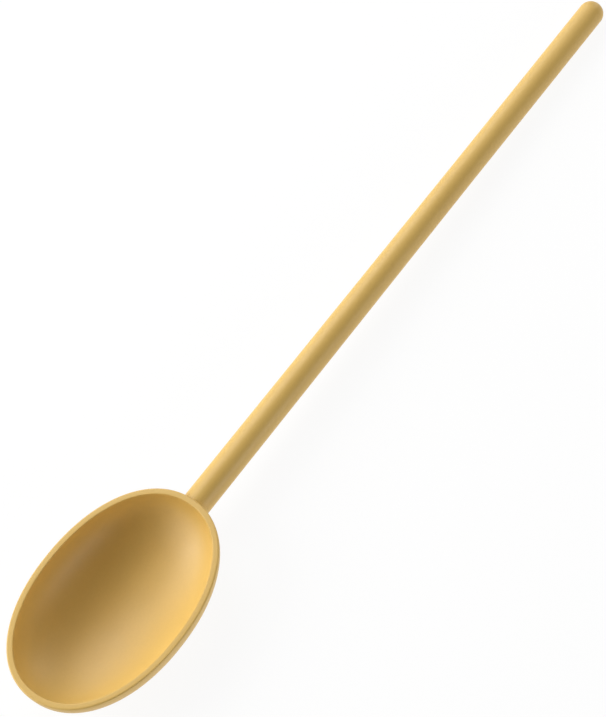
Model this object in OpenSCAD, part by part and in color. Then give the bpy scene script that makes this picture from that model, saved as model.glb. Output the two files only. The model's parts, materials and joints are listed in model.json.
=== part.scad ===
// Cooking spoon: a deep oval bowl on a long round handle, moulded in one plain colour.
// Three mouldings are plugged together: the bowl, the hollow handle and the handle's rounded end.
// Lengths are in millimetres. Each piece is drawn in the spoon's own frame, with the middle of
// the rim at the origin, the handle along +X and the rim's flat top facing +Z. The whole spoon
// is then tipped until its bowl and the end of its handle both rest on Z = 0.

/* [Overall] */
// Length of the whole spoon, from the bowl's tip to the end of the handle
spoon_l = 380; // [300:5:450]

/* [Bowl] */
// Length of the bowl over its rim
bowl_l = 99; // [75:1:125]
// Width of the bowl over its rim
bowl_w = 66; // [48:1:90]
// Depth of the bowl, from the top of the rim to the lowest point outside
bowl_h = 23; // [20:0.5:34]
// Thickness of the bowl's floor at its deepest point
floor_t = 2.6; // [1.8:0.1:4]
// Width of the rim's flat top
rim_w = 2.6; // [1.8:0.1:4]
// Height of the upright band just under the rim
band_h = 1.5; // [1:0.1:5]
// Bevel along the inner and outer edges of the rim
rim_bevel = 0.4; // [0.2:0.05:0.7]

/* [Handle] */
// Diameter of the handle where it meets the bowl
neck_d = 11.6; // [10:0.1:13]
// Diameter of the handle's straight part, up to its rounded end
grip_d = 10.7; // [9:0.1:13]
// Length of the straight part, before the rounded end
grip_l = 95; // [60:5:140]
// Depth of the handle's axis under the top of the rim
handle_drop = 6.8; // [6.6:0.1:8]
// Diameter of the hollow that runs through the handle
bore_d = 6.4; // [4:0.1:7]

/* [Joints] */
// Length of the neck, from the rim to the shoulder that the handle butts against
neck_l = 1.2; // [1:0.1:6]
// Length of the bowl's spigot inside the handle
spigot_l = 42; // [25:1:70]
// Length of the end cap's plug inside the handle
plug_l = 18; // [8:1:35]
// Gap round the spigot and round the plug, for the glue
fit_gap = 0.05; // [0.02:0.01:0.15]
// Lead-in bevel on the tips of the spigot and the plug
lead_in = 0.8; // [0.4:0.1:1.2]

/* [Hidden] */
$fn = 180;
plastic = "#dcae70";

rim_x = bowl_l / 2;
rim_y = bowl_w / 2;
body_h = bowl_h - band_h;
shoulder_x = rim_x + neck_l;
cap_x = spoon_l - rim_x - grip_d / 2;
tube_l = cap_x - shoulder_x;
taper_l = tube_l - grip_l;
plug_fit_d = bore_d - 2 * fit_gap;

// How far the tipped bowl reaches below the middle of its rim
function bowl_reach(tip) =
    band_h * cos(tip) + norm([rim_x * sin(tip), body_h * cos(tip)]);

// The tip at which the end of the handle comes down as low as the bowl, found in a few steps
function rest_tip(guess, steps) =
    steps == 0 ? guess
    : rest_tip(asin((bowl_reach(guess) - grip_d / 2 - handle_drop * cos(guess)) / cap_x), steps - 1);

tip = rest_tip(2, 8);
front_x = band_h * sin(tip) + norm([rim_x * cos(tip), body_h * sin(tip)]);
back_x = cap_x * cos(tip) - handle_drop * sin(tip) + grip_d / 2;

// Lays the spoon on the table, with the middle of its length over the origin
module at_rest() {
    translate([(front_x - back_x) / 2, 0, bowl_reach(tip)])
        rotate([0, tip, 0])
            children();
}

// Puts a shape that stands on Z = 0 along the handle's axis, at a distance from the rim's middle
module on_handle(x) {
    translate([x, 0, -handle_drop])
        rotate([0, 90, 0])
            children();
}

// Turns a half section into an oval of the given half width and half length
module oval_turning(half_w, half_l) {
    scale([half_l / half_w, 1, 1])
        rotate_extrude()
            children();
}

// Quarter of an ellipse that hangs from a given level, beside the axis
module quarter_ellipse(half_w, depth, level) {
    translate([0, level])
        intersection() {
            scale([1, depth / half_w])
                circle(r = half_w);
            translate([0, -depth])
                square([half_w, depth]);
        }
}

// The bowl without its hollow: an upright band, and a half ellipsoid under it
module bowl_outside() {
    oval_turning(rim_y, rim_x) {
        polygon([
            [0, 0],
            [rim_y - rim_bevel, 0],
            [rim_y, -rim_bevel],
            [rim_y, -band_h],
            [0, -band_h]
        ]);
        quarter_ellipse(rim_y, body_h, -band_h);
    }
}

// The hollow of the bowl, with the bevel of the rim's inner edge
module bowl_hollow() {
    half_w = rim_y - rim_w;
    bevel_foot = rim_bevel + 2;
    oval_turning(half_w, rim_x - rim_w) {
        quarter_ellipse(half_w, bowl_h - floor_t, 0);
        polygon([
            [0, 0],
            [half_w + rim_bevel, 0],
            [half_w + rim_bevel - bevel_foot, -bevel_foot],
            [0, -bevel_foot]
        ]);
    }
}

// A round plug that fits the handle's bore, with a lead-in at its tip
module plug(length) {
    cylinder(h = length - lead_in, d = plug_fit_d);
    translate([0, 0, length - lead_in])
        cylinder(h = lead_in, d1 = plug_fit_d, d2 = plug_fit_d - 2 * lead_in);
}

// Bowl, with the neck that carries on the line of the handle and the spigot that the handle takes
module bowl() {
    color(plastic)
        at_rest()
            difference() {
                union() {
                    bowl_outside();
                    on_handle(rim_x / 2)
                        cylinder(h = shoulder_x - rim_x / 2, d = neck_d);
                    on_handle(shoulder_x)
                        plug(spigot_l);
                }
                bowl_hollow();
            }
}

// Hollow handle, tapered from the neck to its straight part
module handle_tube() {
    color(plastic)
        at_rest()
            on_handle(shoulder_x)
                rotate_extrude()
                    polygon([
                        [bore_d / 2, 0],
                        [neck_d / 2, 0],
                        [grip_d / 2, taper_l],
                        [grip_d / 2, tube_l],
                        [bore_d / 2, tube_l]
                    ]);
}

// Rounded end of the handle, with the plug that closes the bore
module handle_end_cap() {
    color(plastic)
        at_rest()
            on_handle(cap_x)
                union() {
                    rotate_extrude()
                        intersection() {
                            circle(d = grip_d);
                            square(grip_d / 2);
                        }
                    mirror([0, 0, 1])
                        plug(plug_l);
                }
}

bowl();
handle_tube();
handle_end_cap();
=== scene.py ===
"""Looks of the cooking spoon: a deep oval bowl on a long round handle, moulded in one tan plastic.

Every surface is worked out with numpy in the spoon's own frame, in metres. There the middle of the rim is the
origin, +X runs along the handle and +Z is up out of the bowl. RestPose then lays the points on the table.
"""

import json
import logging
import math
from dataclasses import dataclass, field
from enum import Enum

import bpy
import numpy as np
from mathutils import Matrix, Vector


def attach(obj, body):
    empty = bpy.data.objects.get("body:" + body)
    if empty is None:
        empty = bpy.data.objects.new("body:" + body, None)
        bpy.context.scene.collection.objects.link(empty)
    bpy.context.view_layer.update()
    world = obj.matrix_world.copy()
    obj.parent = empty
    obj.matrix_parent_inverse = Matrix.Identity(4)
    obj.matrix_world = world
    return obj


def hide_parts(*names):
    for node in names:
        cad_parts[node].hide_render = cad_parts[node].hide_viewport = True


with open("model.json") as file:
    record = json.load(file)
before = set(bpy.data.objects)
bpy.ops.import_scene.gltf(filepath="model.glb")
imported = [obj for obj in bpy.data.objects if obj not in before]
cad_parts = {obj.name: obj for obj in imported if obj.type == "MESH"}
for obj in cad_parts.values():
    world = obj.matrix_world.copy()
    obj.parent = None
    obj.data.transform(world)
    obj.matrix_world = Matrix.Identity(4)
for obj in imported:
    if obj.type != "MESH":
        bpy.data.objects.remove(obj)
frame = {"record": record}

log = logging.getLogger("cooking_spoon")
MM = 0.001

# Noise scales of the moulded skin, in waves a metre
CLOUD_WAVES = 26.0
SMEAR_WAVES = 160.0
SPECKLE_WAVES = 900.0
GRAIN_WAVES = 2400.0


class Ends(Enum):
    """What closes the first and the last row of a lofted surface."""

    POLES = "poles"
    LOOP = "loop"


class Lamp(Enum):
    """The soft lamps of the studio, each named for the side of the spoon it stands on."""

    KEY = "key"
    HIGH = "high"
    FAR = "far"
    FAR_BOWL = "far_bowl"
    FAR_BOWL_LOW = "far_bowl_low"
    FAR_HANDLE = "far_handle"
    BOWL_TIP_LOW = "bowl_tip_low"
    HANDLE_END = "handle_end"
    HANDLE_END_LOW = "handle_end_low"
    NEAR_LOW = "near_low"


@dataclass(frozen=True)
class SpoonSizes:
    """Driving sizes of the spoon, the same as the part's own, in metres."""

    length: float = 380 * MM
    bowl_length: float = 99 * MM
    bowl_width: float = 66 * MM
    bowl_depth: float = 23 * MM
    floor: float = 2.6 * MM
    rim: float = 2.6 * MM
    band: float = 1.5 * MM
    neck_width: float = 11.6 * MM
    grip_width: float = 10.7 * MM
    grip_length: float = 95 * MM
    drop: float = 6.8 * MM
    bore: float = 6.4 * MM
    neck_length: float = 1.2 * MM
    spigot_length: float = 42 * MM
    plug_length: float = 18 * MM
    fit_gap: float = 0.05 * MM
    lead_in: float = 0.8 * MM

    @property
    def tip_reach(self) -> float:
        """Distance from the middle of the rim to the bowl's tip."""
        return self.bowl_length / 2

    @property
    def half_width(self) -> float:
        """Half of the bowl's width."""
        return self.bowl_width / 2

    @property
    def shoulder(self) -> float:
        """Where the handle butts against the neck, along the handle."""
        return self.tip_reach + self.neck_length

    @property
    def cap_start(self) -> float:
        """Where the handle's straight part ends and its dome begins."""
        return self.length - self.tip_reach - self.grip_width / 2

    @property
    def plug_radius(self) -> float:
        """Radius of the spigot and of the plug, which fit the bore."""
        return self.bore / 2 - self.fit_gap


@dataclass(frozen=True)
class RestPose:
    """Lays points of the spoon's own frame on the table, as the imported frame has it."""

    origin: np.ndarray
    turn: np.ndarray

    @classmethod
    def from_frame(cls, record: dict, sizes: SpoonSizes) -> "RestPose":
        """Reads the pose from the grip mount, whose middle and direction are known in both frames.

        Args:
            record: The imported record.
            sizes: The spoon's sizes.

        Returns:
            The pose.
        """
        grip = next(mount for mount in record["mounts"] if mount["name"] == "grip")
        along = np.array(grip["axis"], float)
        along /= np.linalg.norm(along)
        side = np.array([0.0, 1.0, 0.0])
        turn = np.stack([along, side, np.cross(along, side)], axis=1)
        own = np.array([sizes.cap_start - sizes.grip_length / 2, 0.0, -sizes.drop])
        return cls(origin=np.array(grip["pos_m"], float) - turn @ own, turn=turn)

    def place(self, points: np.ndarray) -> np.ndarray:
        """Turns the points to the table's frame and moves them there."""
        return points @ self.turn.T + self.origin

    def matrix(self) -> Matrix:
        """The same move as a Blender matrix."""
        rows = np.hstack([self.turn, self.origin[:, None]])
        return Matrix([*rows.tolist(), [0.0, 0.0, 0.0, 1.0]])


@dataclass(frozen=True)
class Surface:
    """A closed smooth surface on a grid: rows run along it, and columns run round it."""

    name: str
    grid: np.ndarray
    ends: Ends = Ends.POLES

    def build(self, pose: RestPose) -> bpy.types.Object:
        """Makes the mesh object. With poles, the first and the last row shrink to one point each.

        Args:
            pose: Where the spoon lies.

        Returns:
            The object, with its place in its mesh.
        """
        rows, columns = self.grid.shape[:2]
        index = np.arange(rows * columns).reshape(rows, columns)
        points = self.grid.reshape(-1, 3)
        if self.ends is Ends.LOOP:
            index = np.vstack([index, index[:1]])
        near, far = index[:-1], index[1:]
        quads = np.stack([near, np.roll(near, -1, 1), np.roll(far, -1, 1), far], axis=-1).reshape(-1, 4)
        faces = quads.tolist()
        if self.ends is Ends.POLES:
            points = np.vstack([points, self.grid[0].mean(0), self.grid[-1].mean(0)])
            first, last = rows * columns, rows * columns + 1
            start = np.stack([np.full(columns, first), np.roll(index[0], -1), index[0]], axis=-1)
            stop = np.stack([np.full(columns, last), index[-1], np.roll(index[-1], -1)], axis=-1)
            faces += start.tolist() + stop.tolist()
        mesh = bpy.data.meshes.new(self.name)
        mesh.from_pydata(pose.place(points).tolist(), [], faces)
        mesh.polygons.foreach_set("use_smooth", np.ones(len(mesh.polygons), dtype=bool))
        mesh.update()
        thing = bpy.data.objects.new(self.name, mesh)
        bpy.context.scene.collection.objects.link(thing)
        return thing


def quarter_turn(start: float, stop: float, steps: int) -> np.ndarray:
    """Evenly spaced angles in radians, from start to stop in degrees, both ends included."""
    return np.radians(np.linspace(start, stop, steps))


def turned(profile: np.ndarray, columns: int, drop: float) -> np.ndarray:
    """Turns a profile round the handle's axis.

    A point at distance x along the axis and radius r goes to (x, r cos a, r sin a - drop) for each angle a.

    Args:
        profile: Rows of (x, r).
        columns: Number of points round the axis.
        drop: Depth of the axis under the rim.

    Returns:
        The grid of points, rows along the profile and columns round the axis.
    """
    angle = np.linspace(0, 2 * math.pi, columns, endpoint=False)
    along = np.repeat(profile[:, :1], columns, axis=1)
    across = profile[:, 1:] * np.cos(angle)
    up = profile[:, 1:] * np.sin(angle) - drop
    return np.stack([along, across, up], axis=-1)


@dataclass(frozen=True)
class OvalPlan:
    """Plan of the rim's outer edge: a superellipse, a little fuller than an ellipse."""

    half_length: float
    half_width: float
    fullness: float = 2.14
    columns: int = 288

    def edge(self) -> np.ndarray:
        """Points of the edge.

        For each angle t the point is k (a cos t, b sin t), where k is the sum of the powers of |cos t| and
        |sin t|, raised to minus one over the fullness.

        Returns:
            One point (x, y) for each column.
        """
        angle = np.linspace(0, 2 * math.pi, self.columns, endpoint=False)
        cosine, sine = np.cos(angle), np.sin(angle)
        powers = np.abs(cosine) ** self.fullness + np.abs(sine) ** self.fullness
        scale = powers ** (-1 / self.fullness)
        return np.stack([self.half_length * cosine * scale, self.half_width * sine * scale], axis=-1)

    def outward(self) -> np.ndarray:
        """Unit vectors square to the edge: the gradient of the superellipse's equation, made one long."""
        reach = np.array([self.half_length, self.half_width])
        share = self.edge() / reach
        slope = np.sign(share) * np.abs(share) ** (self.fullness - 1) / reach
        return slope / np.linalg.norm(slope, axis=1, keepdims=True)


@dataclass(frozen=True)
class Bowl:
    """Bowl with its rim, its neck under the rim and the spigot that goes into the handle."""

    sizes: SpoonSizes
    outer_round: float = 0.65 * MM
    inner_round: float = 0.4 * MM
    crown: float = 0.01 * MM
    fillet: float = 0.9 * MM
    fillet_side: float = -0.35
    fillet_fade: float = 0.6
    root_depth: float = 1.3 * MM
    witness: float = 0.02 * MM
    support: float = 0.2 * MM
    tip_flat: float = 0.3 * MM
    neck_columns: int = 128

    def plan(self) -> OvalPlan:
        """Plan of the rim's outer edge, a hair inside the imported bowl's box."""
        return OvalPlan(self.sizes.tip_reach - 0.01 * MM, self.sizes.half_width - 0.005 * MM)

    def shell(self) -> Surface:
        """The shell, from the middle of its underside out to the rim, over it and down into the hollow.

        The underside is a half ellipsoid that hangs under a short upright band, and the hollow is another.
        Both take the rim's plan as their outline, so a point there is the plan's point times a share. The rim
        lies a fixed distance inside the plan, along the plan's own normals, so it's equally wide all round.

        Returns:
            The surface, with a pole under the bowl and one in its floor.
        """
        s = self.sizes
        edge, outward = self.plan().edge(), self.plan().outward()
        inner_edge = edge - s.rim * outward

        dome = quarter_turn(1.5, 90, 56)
        underside = self.rows(np.sin(dome), -s.band - (s.bowl_depth - s.band) * np.cos(dome), edge)
        level = np.linspace(-s.band, -self.outer_round, 5)[1:-1]
        band = self.rows(np.ones_like(level), level, edge)

        bend = quarter_turn(0, 90, 9)
        inset = self.outer_round * (1 - np.cos(bend))
        outer_edge = self.inset_rows(inset, self.outer_round * (np.sin(bend) - 1), edge, outward)
        across = np.linspace(0, 1, 9)[1:-1]
        inset = self.outer_round + across * (s.rim - self.outer_round - self.inner_round)
        flat = self.inset_rows(inset, self.crown * np.sin(math.pi * across), edge, outward)
        inset = s.rim - self.inner_round * (1 - np.sin(bend))
        lip = self.inset_rows(inset, self.inner_round * (np.cos(bend) - 1), edge, outward)

        depth = s.bowl_depth - s.floor
        start = math.degrees(math.asin(self.inner_round / depth))
        fall = quarter_turn(start, 88.5, 64)[1:]
        hollow = self.rows(np.cos(fall), -depth * np.sin(fall), inner_edge)
        return Surface("bowl_shell", np.concatenate([underside, band, outer_edge, flat, lip, hollow]))

    @staticmethod
    def rows(share: np.ndarray, level: np.ndarray, edge: np.ndarray) -> np.ndarray:
        """Rows whose outline is a share of an edge, each at its own level."""
        flat = share[:, None, None] * edge[None]
        up = np.broadcast_to(level[:, None, None], (*flat.shape[:2], 1))
        return np.concatenate([flat, up], axis=-1)

    @staticmethod
    def inset_rows(
        inset: np.ndarray, level: np.ndarray, edge: np.ndarray, outward: np.ndarray
    ) -> np.ndarray:
        """Rows that lie a fixed distance inside an edge, each at its own level."""
        flat = edge[None] - inset[:, None, None] * outward[None]
        up = np.broadcast_to(level[:, None, None], (*flat.shape[:2], 1))
        return np.concatenate([flat, up], axis=-1)

    def wall_at(self, across: np.ndarray, up: np.ndarray, inset: float) -> np.ndarray:
        """How far along the handle the bowl's outside reaches, a little inside its surface.

        Args:
            across: Distance from the symmetry plane.
            up: Level, under the top of the rim.
            inset: How deep in the wall to measure.

        Returns:
            The distance from the middle of the rim, along the handle, by the ellipsoid's equation.
        """
        s = self.sizes
        below = np.minimum(up + s.band, 0.0) / (s.bowl_depth - s.band - inset)
        beside = across / (s.half_width - inset)
        left = np.clip(1 - below**2 - beside**2, 0.0, 1.0)
        return (s.tip_reach - inset) * np.sqrt(left)

    def neck(self) -> Surface:
        """The neck and its spigot: a round bar that grows out of the bowl's wall.

        The radius grows towards the wall as a fillet does, by f - sqrt(f^2 - (f - d)^2) at distance d from
        the wall. The fillet is under the neck alone and fades out before its sides. The neck then ends at a
        shoulder, and the spigot goes on with a bevelled tip.

        Returns:
            The surface, with a pole in the wall and one at the spigot's tip.
        """
        s = self.sizes
        angle = np.linspace(0, 2 * math.pi, self.neck_columns, endpoint=False)
        fade = np.clip((self.fillet_side - np.sin(angle)) / self.fillet_fade, 0, 1)
        fade = fade**2 * (3 - 2 * fade)
        away = np.concatenate([[-self.root_depth], self.fillet * np.linspace(0, 1, 12) ** 1.5])
        reach = np.clip(self.fillet - away, 0, self.fillet)
        grow = (self.fillet - np.sqrt(self.fillet**2 - reach**2))[:, None] * fade
        radius = s.neck_width / 2 + grow
        across, up = radius * np.cos(angle), radius * np.sin(angle) - s.drop
        surface = self.wall_at(across, up, 0.0) + away[:, None]
        in_wall = self.wall_at(across[0], up[0], self.root_depth)
        along = np.vstack([in_wall, surface[1:]])
        last = s.shoulder - self.witness
        along = np.minimum(along, last - 0.02 * MM)
        root = np.stack([along, across, up], axis=-1)

        tip = s.shoulder + s.spigot_length
        profile = np.array(
            [
                [last, s.neck_width / 2],
                [s.shoulder, s.neck_width / 2 - self.witness],
                [s.shoulder, s.plug_radius + self.support],
                [s.shoulder, s.plug_radius],
                [s.shoulder + self.support, s.plug_radius],
                [tip - s.lead_in, s.plug_radius],
                [tip, s.plug_radius - s.lead_in],
                [tip, self.tip_flat],
            ]
        )
        return Surface("bowl_neck", np.concatenate([root, turned(profile, self.neck_columns, s.drop)]))

    def build(self, pose: RestPose, finish: "MouldedPlastic") -> list[bpy.types.Object]:
        """Builds and dresses the shell and the neck.

        Args:
            pose: Where the spoon lies.
            finish: The plastic.

        Returns:
            The two pieces.
        """
        pieces = [self.shell().build(pose), self.neck().build(pose)]
        return dress(pieces, finish.material(pose), "bowl")


@dataclass(frozen=True)
class Handle:
    """Hollow handle and the domed cap that closes its end."""

    sizes: SpoonSizes
    near_joint: tuple[float, ...] = (0.0, 0.0002, 0.001, 0.005)
    witness: float = 0.02 * MM
    tip_flat: float = 0.3 * MM
    columns: int = 128

    def tube(self) -> Surface:
        """The tube: a cone from the neck to the grip, then a cylinder, with a straight bore.

        Rows lie closer together near each joint, so that no shading spreads from its edge.

        Returns:
            The surface, whose profile is a closed loop.
        """
        s, w = self.sizes, self.witness
        taper_end = s.cap_start - s.grip_length
        first, last = s.shoulder + w, s.cap_start - w
        share = np.concatenate([self.near_joint, np.linspace(0, 1, 40)[1:]])
        radius = s.neck_width / 2 + share * (s.grip_width - s.neck_width) / 2
        cone = np.stack([first + share * (taper_end - first), radius], axis=-1)
        left = share[::-1][1:]
        grip = np.stack([last - left * (last - taper_end), np.full_like(left, s.grip_width / 2)], axis=-1)
        ends = np.array(
            [
                [s.cap_start, s.grip_width / 2 - w],
                [s.cap_start, s.bore / 2],
                [s.shoulder, s.bore / 2],
                [s.shoulder, s.neck_width / 2 - w],
            ]
        )
        profile = np.concatenate([cone, grip, ends])
        return Surface("handle_tube_skin", turned(profile, self.columns, s.drop), Ends.LOOP)

    def cap(self) -> Surface:
        """The cap: a plug with a bevelled tip, a shoulder, and a half ball.

        Returns:
            The surface, with a pole at the plug's tip and one at the end of the handle.
        """
        s, w = self.sizes, self.witness
        tip = s.cap_start - s.plug_length
        plug = np.array(
            [
                [tip, self.tip_flat],
                [tip, s.plug_radius - s.lead_in],
                [tip + s.lead_in, s.plug_radius],
                [s.cap_start, s.plug_radius],
                [s.cap_start, s.grip_width / 2 - w],
            ]
        )
        bend = np.concatenate([np.radians([0.25, 0.6, 1.2]), quarter_turn(2.2, 88.5, 40)])
        ball = s.grip_width / 2 * np.stack([np.sin(bend), np.cos(bend)], axis=-1)
        ball[:, 0] = s.cap_start + 0.998 * ball[:, 0]
        profile = np.concatenate([plug, ball])
        return Surface("handle_end_skin", turned(profile, self.columns, s.drop))

    def build(self, pose: RestPose, finish: "MouldedPlastic") -> list[bpy.types.Object]:
        """Builds and dresses the tube and the cap.

        Args:
            pose: Where the spoon lies.
            finish: The plastic.

        Returns:
            The two pieces.
        """
        tube, cap = self.tube().build(pose), self.cap().build(pose)
        material = finish.material(pose)
        return dress([tube], material, "handle_tube") + dress([cap], material, "handle_end_cap")


def dress(
    pieces: list[bpy.types.Object], material: bpy.types.Material, node: str
) -> list[bpy.types.Object]:
    """Gives pieces their material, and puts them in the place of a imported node.

    Args:
        pieces: The pieces that stand for the node.
        material: Their material.
        node: The node's name.

    Returns:
        The same pieces.
    """
    for piece in pieces:
        piece.data.materials.append(material)
        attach(piece, "root")
        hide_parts(node)
        log.info("%s: %d faces, for %s", piece.name, len(piece.data.polygons), node)
    return pieces


def srgb(red: int, green: int, blue: int) -> tuple[float, float, float, float]:
    """Linear colour of a screen colour whose channels run from 0 to 255."""
    share = np.array([red, green, blue]) / 255
    linear = np.where(share <= 0.04045, share / 12.92, ((share + 0.055) / 1.055) ** 2.4)
    return (*linear.tolist(), 1.0)


@dataclass
class NodeSheet:
    """Short ways to lay and join shader nodes in one tree."""

    tree: bpy.types.NodeTree
    spot: int = field(default=0)

    def add(self, kind: str, **settings: object) -> bpy.types.Node:
        """Adds a node of a kind and sets its own settings."""
        node = self.tree.nodes.new(kind)
        node.location = (180 * self.spot, -60 * (self.spot % 5))
        self.spot += 1
        for name, value in settings.items():
            setattr(node, name, value)
        return node

    def join(self, source: bpy.types.NodeSocket, target: bpy.types.NodeSocket) -> None:
        """Links one socket to another."""
        self.tree.links.new(source, target)

    def noise(self, where: bpy.types.NodeSocket, scale: float, detail: float) -> bpy.types.NodeSocket:
        """A noise of a given scale, in waves a metre, as a value from 0 to 1."""
        node = self.add("ShaderNodeTexNoise")
        node.inputs["Scale"].default_value = scale
        node.inputs["Detail"].default_value = detail
        node.inputs["Roughness"].default_value = 0.55
        self.join(where, node.inputs["Vector"])
        return node.outputs["Fac"]

    def sum_of(
        self, terms: list[tuple[bpy.types.NodeSocket, bpy.types.NodeSocket | float]]
    ) -> bpy.types.NodeSocket:
        """Adds up values, each times its weight."""
        total: bpy.types.NodeSocket | None = None
        for value, weight in terms:
            step = self.add("ShaderNodeMath", operation="MULTIPLY_ADD")
            self.join(value, step.inputs[0])
            if isinstance(weight, float):
                step.inputs[1].default_value = weight
            else:
                self.join(weight, step.inputs[1])
            step.inputs[2].default_value = 0.0
            if total is not None:
                self.join(total, step.inputs[2])
            total = step.outputs[0]
        return total


def moulded_skin_group() -> bpy.types.ShaderNodeTree:
    """Node group of a moulded skin, shared by every plastic piece.

    Wide soft clouds shift the colour a little, fine speckle shows the filler, and a fine grain makes both the
    roughness and the height of the skin uneven. A hairline ridge lies where the two halves of the mould met.

    Returns:
        The group, with its inputs and outputs named.
    """
    name = "moulded_skin"
    if name in bpy.data.node_groups:
        return bpy.data.node_groups[name]
    group = bpy.data.node_groups.new(name, "ShaderNodeTree")
    sockets = group.interface
    sockets.new_socket("Where", in_out="INPUT", socket_type="NodeSocketVector")
    for label in ("Colour", "Cloud Colour"):
        sockets.new_socket(label, in_out="INPUT", socket_type="NodeSocketColor")
    for label in ("Clouds", "Speckle", "Roughness", "Uneven", "Ridge"):
        sockets.new_socket(label, in_out="INPUT", socket_type="NodeSocketFloat")
    sockets.new_socket("Colour", in_out="OUTPUT", socket_type="NodeSocketColor")
    sockets.new_socket("Roughness", in_out="OUTPUT", socket_type="NodeSocketFloat")
    sockets.new_socket("Height", in_out="OUTPUT", socket_type="NodeSocketFloat")

    sheet = NodeSheet(group)
    given = sheet.add("NodeGroupInput").outputs
    result = sheet.add("NodeGroupOutput").inputs
    where = given["Where"]
    clouds = sheet.noise(where, CLOUD_WAVES, 3.0)
    grain = sheet.noise(where, GRAIN_WAVES, 2.0)
    smears = sheet.noise(where, SMEAR_WAVES, 4.0)
    speckle = sheet.noise(where, SPECKLE_WAVES, 1.0)

    cloud_range = sheet.add("ShaderNodeMapRange")
    sheet.join(clouds, cloud_range.inputs["Value"])
    cloud_range.inputs["From Min"].default_value = 0.35
    cloud_range.inputs["From Max"].default_value = 0.7
    cloud_share = sheet.add("ShaderNodeMath", operation="MULTIPLY")
    sheet.join(cloud_range.outputs["Result"], cloud_share.inputs[0])
    sheet.join(given["Clouds"], cloud_share.inputs[1])
    cloudy = sheet.add("ShaderNodeMix", data_type="RGBA")
    sheet.join(cloud_share.outputs[0], cloudy.inputs["Factor"])
    sheet.join(given["Colour"], cloudy.inputs["A"])
    sheet.join(given["Cloud Colour"], cloudy.inputs["B"])

    value = sheet.add("ShaderNodeMath", operation="SUBTRACT")
    sheet.join(speckle, value.inputs[0])
    value.inputs[1].default_value = 0.5
    lift = sheet.sum_of([(value.outputs[0], given["Speckle"])])
    bright = sheet.add("ShaderNodeMath", operation="ADD")
    sheet.join(lift, bright.inputs[0])
    bright.inputs[1].default_value = 1.0
    tone = sheet.add("ShaderNodeHueSaturation")
    sheet.join(cloudy.outputs["Result"], tone.inputs["Color"])
    sheet.join(bright.outputs[0], tone.inputs["Value"])
    sheet.join(tone.outputs["Color"], result["Colour"])

    spread = sheet.add("ShaderNodeMath", operation="SUBTRACT")
    sheet.join(smears, spread.inputs[0])
    spread.inputs[1].default_value = 0.5
    rough = sheet.add("ShaderNodeMath", operation="MULTIPLY_ADD", use_clamp=True)
    sheet.join(spread.outputs[0], rough.inputs[0])
    sheet.join(given["Uneven"], rough.inputs[1])
    sheet.join(given["Roughness"], rough.inputs[2])
    sheet.join(rough.outputs[0], result["Roughness"])

    height = sheet.sum_of([(grain, 0.35), (smears, 0.25), (mould_line(sheet, where), given["Ridge"])])
    sheet.join(height, result["Height"])
    return group


def mould_line(sheet: NodeSheet, where: bpy.types.NodeSocket) -> bpy.types.NodeSocket:
    """Mask of the hairline where the halves of the mould met, along both sides of the handle.

    Args:
        sheet: The tree to build in.
        where: Position in the spoon's own frame, with the handle's axis at height 0.

    Returns:
        A value that falls from 1 on the line to 0 at 0.15 mm from it.
    """
    split = sheet.add("ShaderNodeSeparateXYZ")
    sheet.join(where, split.inputs[0])
    off = sheet.add("ShaderNodeMath", operation="ABSOLUTE")
    sheet.join(split.outputs["Z"], off.inputs[0])
    near = sheet.add("ShaderNodeMapRange", interpolation_type="SMOOTHSTEP")
    sheet.join(off.outputs[0], near.inputs["Value"])
    near.inputs["From Min"].default_value = 0.0
    near.inputs["From Max"].default_value = 0.15 * MM
    near.inputs["To Min"].default_value = 1.0
    near.inputs["To Max"].default_value = 0.0
    return near.outputs["Result"]


@dataclass(frozen=True)
class MouldedPlastic:
    """Satin plastic filled with short fibres: tan, with soft clouds of a deeper tone."""

    name: str
    drop: float
    colour: tuple[float, float, float, float] = srgb(219, 181, 100)
    cloud_colour: tuple[float, float, float, float] = srgb(212, 172, 90)
    clouds: float = 0.5
    speckle: float = 0.05
    roughness: float = 0.45
    uneven: float = 0.12
    ridge: float = 0.0
    bump: float = 0.25

    def material(self, pose: RestPose) -> bpy.types.Material:
        """Builds the material, or finds it where another piece has it already.

        Args:
            pose: Where the spoon lies, so that patterns follow its own frame.

        Returns:
            The material.
        """
        if self.name in bpy.data.materials:
            return bpy.data.materials[self.name]
        material = bpy.data.materials.new(self.name)
        material.use_nodes = True
        sheet = NodeSheet(material.node_tree)
        shader = material.node_tree.nodes["Principled BSDF"]
        place = sheet.add("ShaderNodeTexCoord")
        own = sheet.add("ShaderNodeMapping", vector_type="POINT")
        back = pose.matrix().inverted()
        own.inputs["Rotation"].default_value = back.to_euler()
        own.inputs["Location"].default_value = back.translation + Vector((0, 0, self.drop))
        sheet.join(place.outputs["Object"], own.inputs["Vector"])

        skin = sheet.add("ShaderNodeGroup", node_tree=moulded_skin_group())
        sheet.join(own.outputs["Vector"], skin.inputs["Where"])
        skin.inputs["Colour"].default_value = self.colour
        skin.inputs["Cloud Colour"].default_value = self.cloud_colour
        skin.inputs["Clouds"].default_value = self.clouds
        skin.inputs["Speckle"].default_value = self.speckle
        skin.inputs["Roughness"].default_value = self.roughness
        skin.inputs["Uneven"].default_value = self.uneven
        skin.inputs["Ridge"].default_value = self.ridge
        bump = sheet.add("ShaderNodeBump")
        bump.inputs["Strength"].default_value = self.bump
        bump.inputs["Distance"].default_value = 0.04 * MM
        sheet.join(skin.outputs["Height"], bump.inputs["Height"])
        sheet.join(skin.outputs["Colour"], shader.inputs["Base Color"])
        sheet.join(skin.outputs["Roughness"], shader.inputs["Roughness"])
        sheet.join(bump.outputs["Normal"], shader.inputs["Normal"])
        shader.inputs["IOR"].default_value = 1.5
        return material


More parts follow.
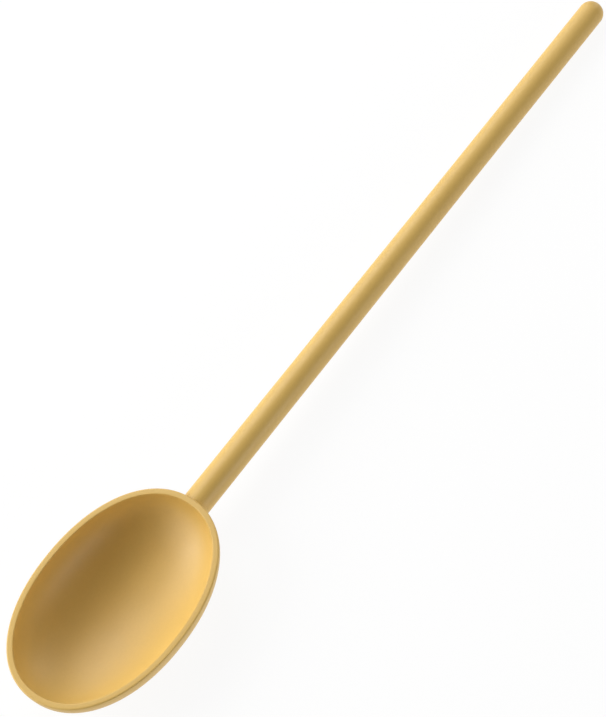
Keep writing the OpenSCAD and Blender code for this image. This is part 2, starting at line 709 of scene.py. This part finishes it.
@dataclass(frozen=True)
class SoftLamp:
    """A square soft lamp that faces the spoon's middle."""

    lamp: Lamp
    azimuth: float
    elevation: float
    power: float
    distance: float = 1.2
    side: float = 0.7

    def build(self, target: Vector) -> bpy.types.Object:
        """Hangs the lamp, by its direction from the target in degrees.

        Args:
            target: What it faces.

        Returns:
            The lamp's object.
        """
        light = bpy.data.lights.new(f"lamp_{self.lamp.value}", "AREA")
        light.shape = "SQUARE"
        light.size = self.side
        light.energy = self.power
        around, up = math.radians(self.azimuth), math.radians(self.elevation)
        away = Vector((math.cos(up) * math.cos(around), math.cos(up) * math.sin(around), math.sin(up)))
        thing = bpy.data.objects.new(light.name, light)
        thing.visible_camera = False
        thing.location = target + self.distance * away
        thing.rotation_euler = away.to_track_quat("Z", "Y").to_euler()
        bpy.context.scene.collection.objects.link(thing)
        return thing


@dataclass(frozen=True)
class Studio:
    """Pale floor, soft lamps, pale world and the camera that looks as the photograph does."""

    eye: tuple[float, float, float] = (-0.29835, -0.37423, 0.87863)
    aim: tuple[float, float, float] = (-0.02919, -0.01428, 0.05305)
    roll: float = -18.66
    lens: float = 124.0
    floor_side: float = 2.6
    floor_tone: float = 0.08
    floor_glow: float = 0.92
    floor_bounce: float = 0.87
    sky_white: float = 0.2
    sky_dark: float = 0.35
    lamps: tuple[SoftLamp, ...] = (
        SoftLamp(Lamp.KEY, azimuth=120, elevation=28, power=8.7),
        SoftLamp(Lamp.HIGH, azimuth=60, elevation=50, power=5.3),
        SoftLamp(Lamp.FAR, azimuth=90, elevation=28, power=0.8),
        SoftLamp(Lamp.FAR_BOWL, azimuth=150, elevation=28, power=3.6),
        SoftLamp(Lamp.FAR_BOWL_LOW, azimuth=135, elevation=8, power=1.5),
        SoftLamp(Lamp.FAR_HANDLE, azimuth=60, elevation=28, power=4.0),
        SoftLamp(Lamp.BOWL_TIP_LOW, azimuth=180, elevation=8, power=1.1),
        SoftLamp(Lamp.HANDLE_END, azimuth=0, elevation=28, power=2.9),
        SoftLamp(Lamp.HANDLE_END_LOW, azimuth=0, elevation=8, power=0.4),
        SoftLamp(Lamp.NEAR_LOW, azimuth=270, elevation=8, power=6.2),
    )

    def build(self) -> None:
        """Builds the whole studio."""
        target = Vector(self.aim)
        for lamp in self.lamps:
            lamp.build(target)
        self.build_world()
        self.build_floor()
        self.build_camera(target)

    @staticmethod
    def seen_rays(sheet: NodeSheet) -> bpy.types.NodeSocket:
        """A mask that is 1 for camera, reflection and clear-material rays, and 0 for others."""
        ray = sheet.add("ShaderNodeLightPath")
        total = sheet.add("ShaderNodeMath", operation="ADD")
        sheet.join(ray.outputs["Is Camera Ray"], total.inputs[0])
        sheet.join(ray.outputs["Is Glossy Ray"], total.inputs[1])
        seen = sheet.add("ShaderNodeMath", operation="ADD", use_clamp=True)
        sheet.join(total.outputs[0], seen.inputs[0])
        sheet.join(ray.outputs["Is Transmission Ray"], seen.inputs[1])
        return seen.outputs[0]

    def build_world(self) -> None:
        """A sky that the camera and reflections see white near the horizon. It casts no light of its own.

        Its strength falls from 1 to 0 as the direction's height, the sine of its elevation, goes from
        sky_white to sky_dark, so nothing white hangs over the bowl.
        """
        world = bpy.data.worlds.new("studio_world")
        bpy.context.scene.world = world
        world.use_nodes = True
        sheet = NodeSheet(world.node_tree)
        sky = world.node_tree.nodes["Background"]
        sky.inputs["Color"].default_value = (1.0, 1.0, 1.0, 1.0)
        direction = sheet.add("ShaderNodeTexCoord")
        split = sheet.add("ShaderNodeSeparateXYZ")
        sheet.join(direction.outputs["Generated"], split.inputs[0])
        ramp = sheet.add("ShaderNodeMapRange")
        sheet.join(split.outputs["Z"], ramp.inputs["Value"])
        ramp.inputs["From Min"].default_value = self.sky_white
        ramp.inputs["From Max"].default_value = self.sky_dark
        ramp.inputs["To Min"].default_value = 1.0
        ramp.inputs["To Max"].default_value = 0.0
        strength = sheet.add("ShaderNodeMath", operation="MULTIPLY")
        sheet.join(self.seen_rays(sheet), strength.inputs[0])
        sheet.join(ramp.outputs["Result"], strength.inputs[1])
        sheet.join(strength.outputs[0], sky.inputs["Strength"])

    def build_floor(self) -> None:
        """A wide pale floor at the table's level. It glows, so it looks white and keeps a faint shadow."""
        half = self.floor_side / 2
        corners = [(-half, -half, 0.0), (half, -half, 0.0), (half, half, 0.0), (-half, half, 0.0)]
        mesh = bpy.data.meshes.new("floor")
        mesh.from_pydata(corners, [], [(0, 1, 2, 3)])
        floor = bpy.data.objects.new("floor", mesh)
        bpy.context.scene.collection.objects.link(floor)
        material = bpy.data.materials.new("floor_paper")
        material.use_nodes = True
        sheet = NodeSheet(material.node_tree)
        shader = material.node_tree.nodes["Principled BSDF"]
        shader.inputs["Base Color"].default_value = (self.floor_tone, self.floor_tone, self.floor_tone, 1.0)
        shader.inputs["Roughness"].default_value = 1.0
        shader.inputs["Specular IOR Level"].default_value = 0.0
        shader.inputs["Emission Color"].default_value = (1.0, 1.0, 1.0, 1.0)
        glow = sheet.add("ShaderNodeMapRange")
        sheet.join(self.seen_rays(sheet), glow.inputs["Value"])
        glow.inputs["To Min"].default_value = self.floor_bounce
        glow.inputs["To Max"].default_value = self.floor_glow
        sheet.join(glow.outputs["Result"], shader.inputs["Emission Strength"])
        mesh.materials.append(material)

    def build_camera(self, target: Vector) -> None:
        """A long lens above the spoon, turned so that the handle runs to the picture's upper right."""
        data = bpy.data.cameras.new("camera")
        data.lens = self.lens
        data.clip_start = 0.05
        data.clip_end = 20.0
        camera = bpy.data.objects.new("camera", data)
        eye = Vector(self.eye)
        upright = (eye - target).to_track_quat("Z", "Y").to_matrix()
        turn = Matrix.Rotation(math.radians(self.roll), 3, "Z")
        camera.rotation_euler = (upright @ turn).to_euler()
        camera.location = eye
        bpy.context.scene.collection.objects.link(camera)
        bpy.context.scene.camera = camera


def main() -> None:
    """Builds the spoon on its frame, and the studio round it."""
    logging.basicConfig(level=logging.INFO, format="%(name)s: %(message)s")
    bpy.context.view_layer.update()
    sizes = SpoonSizes()
    pose = RestPose.from_frame(frame["record"], sizes)
    Bowl(sizes).build(pose, MouldedPlastic("bowl_plastic", sizes.drop))
    Handle(sizes).build(pose, MouldedPlastic("handle_plastic", sizes.drop, ridge=0.6))
    Studio().build()
    bpy.context.scene.view_settings.view_transform = "Standard"


if __name__ == "__main__":
    main()
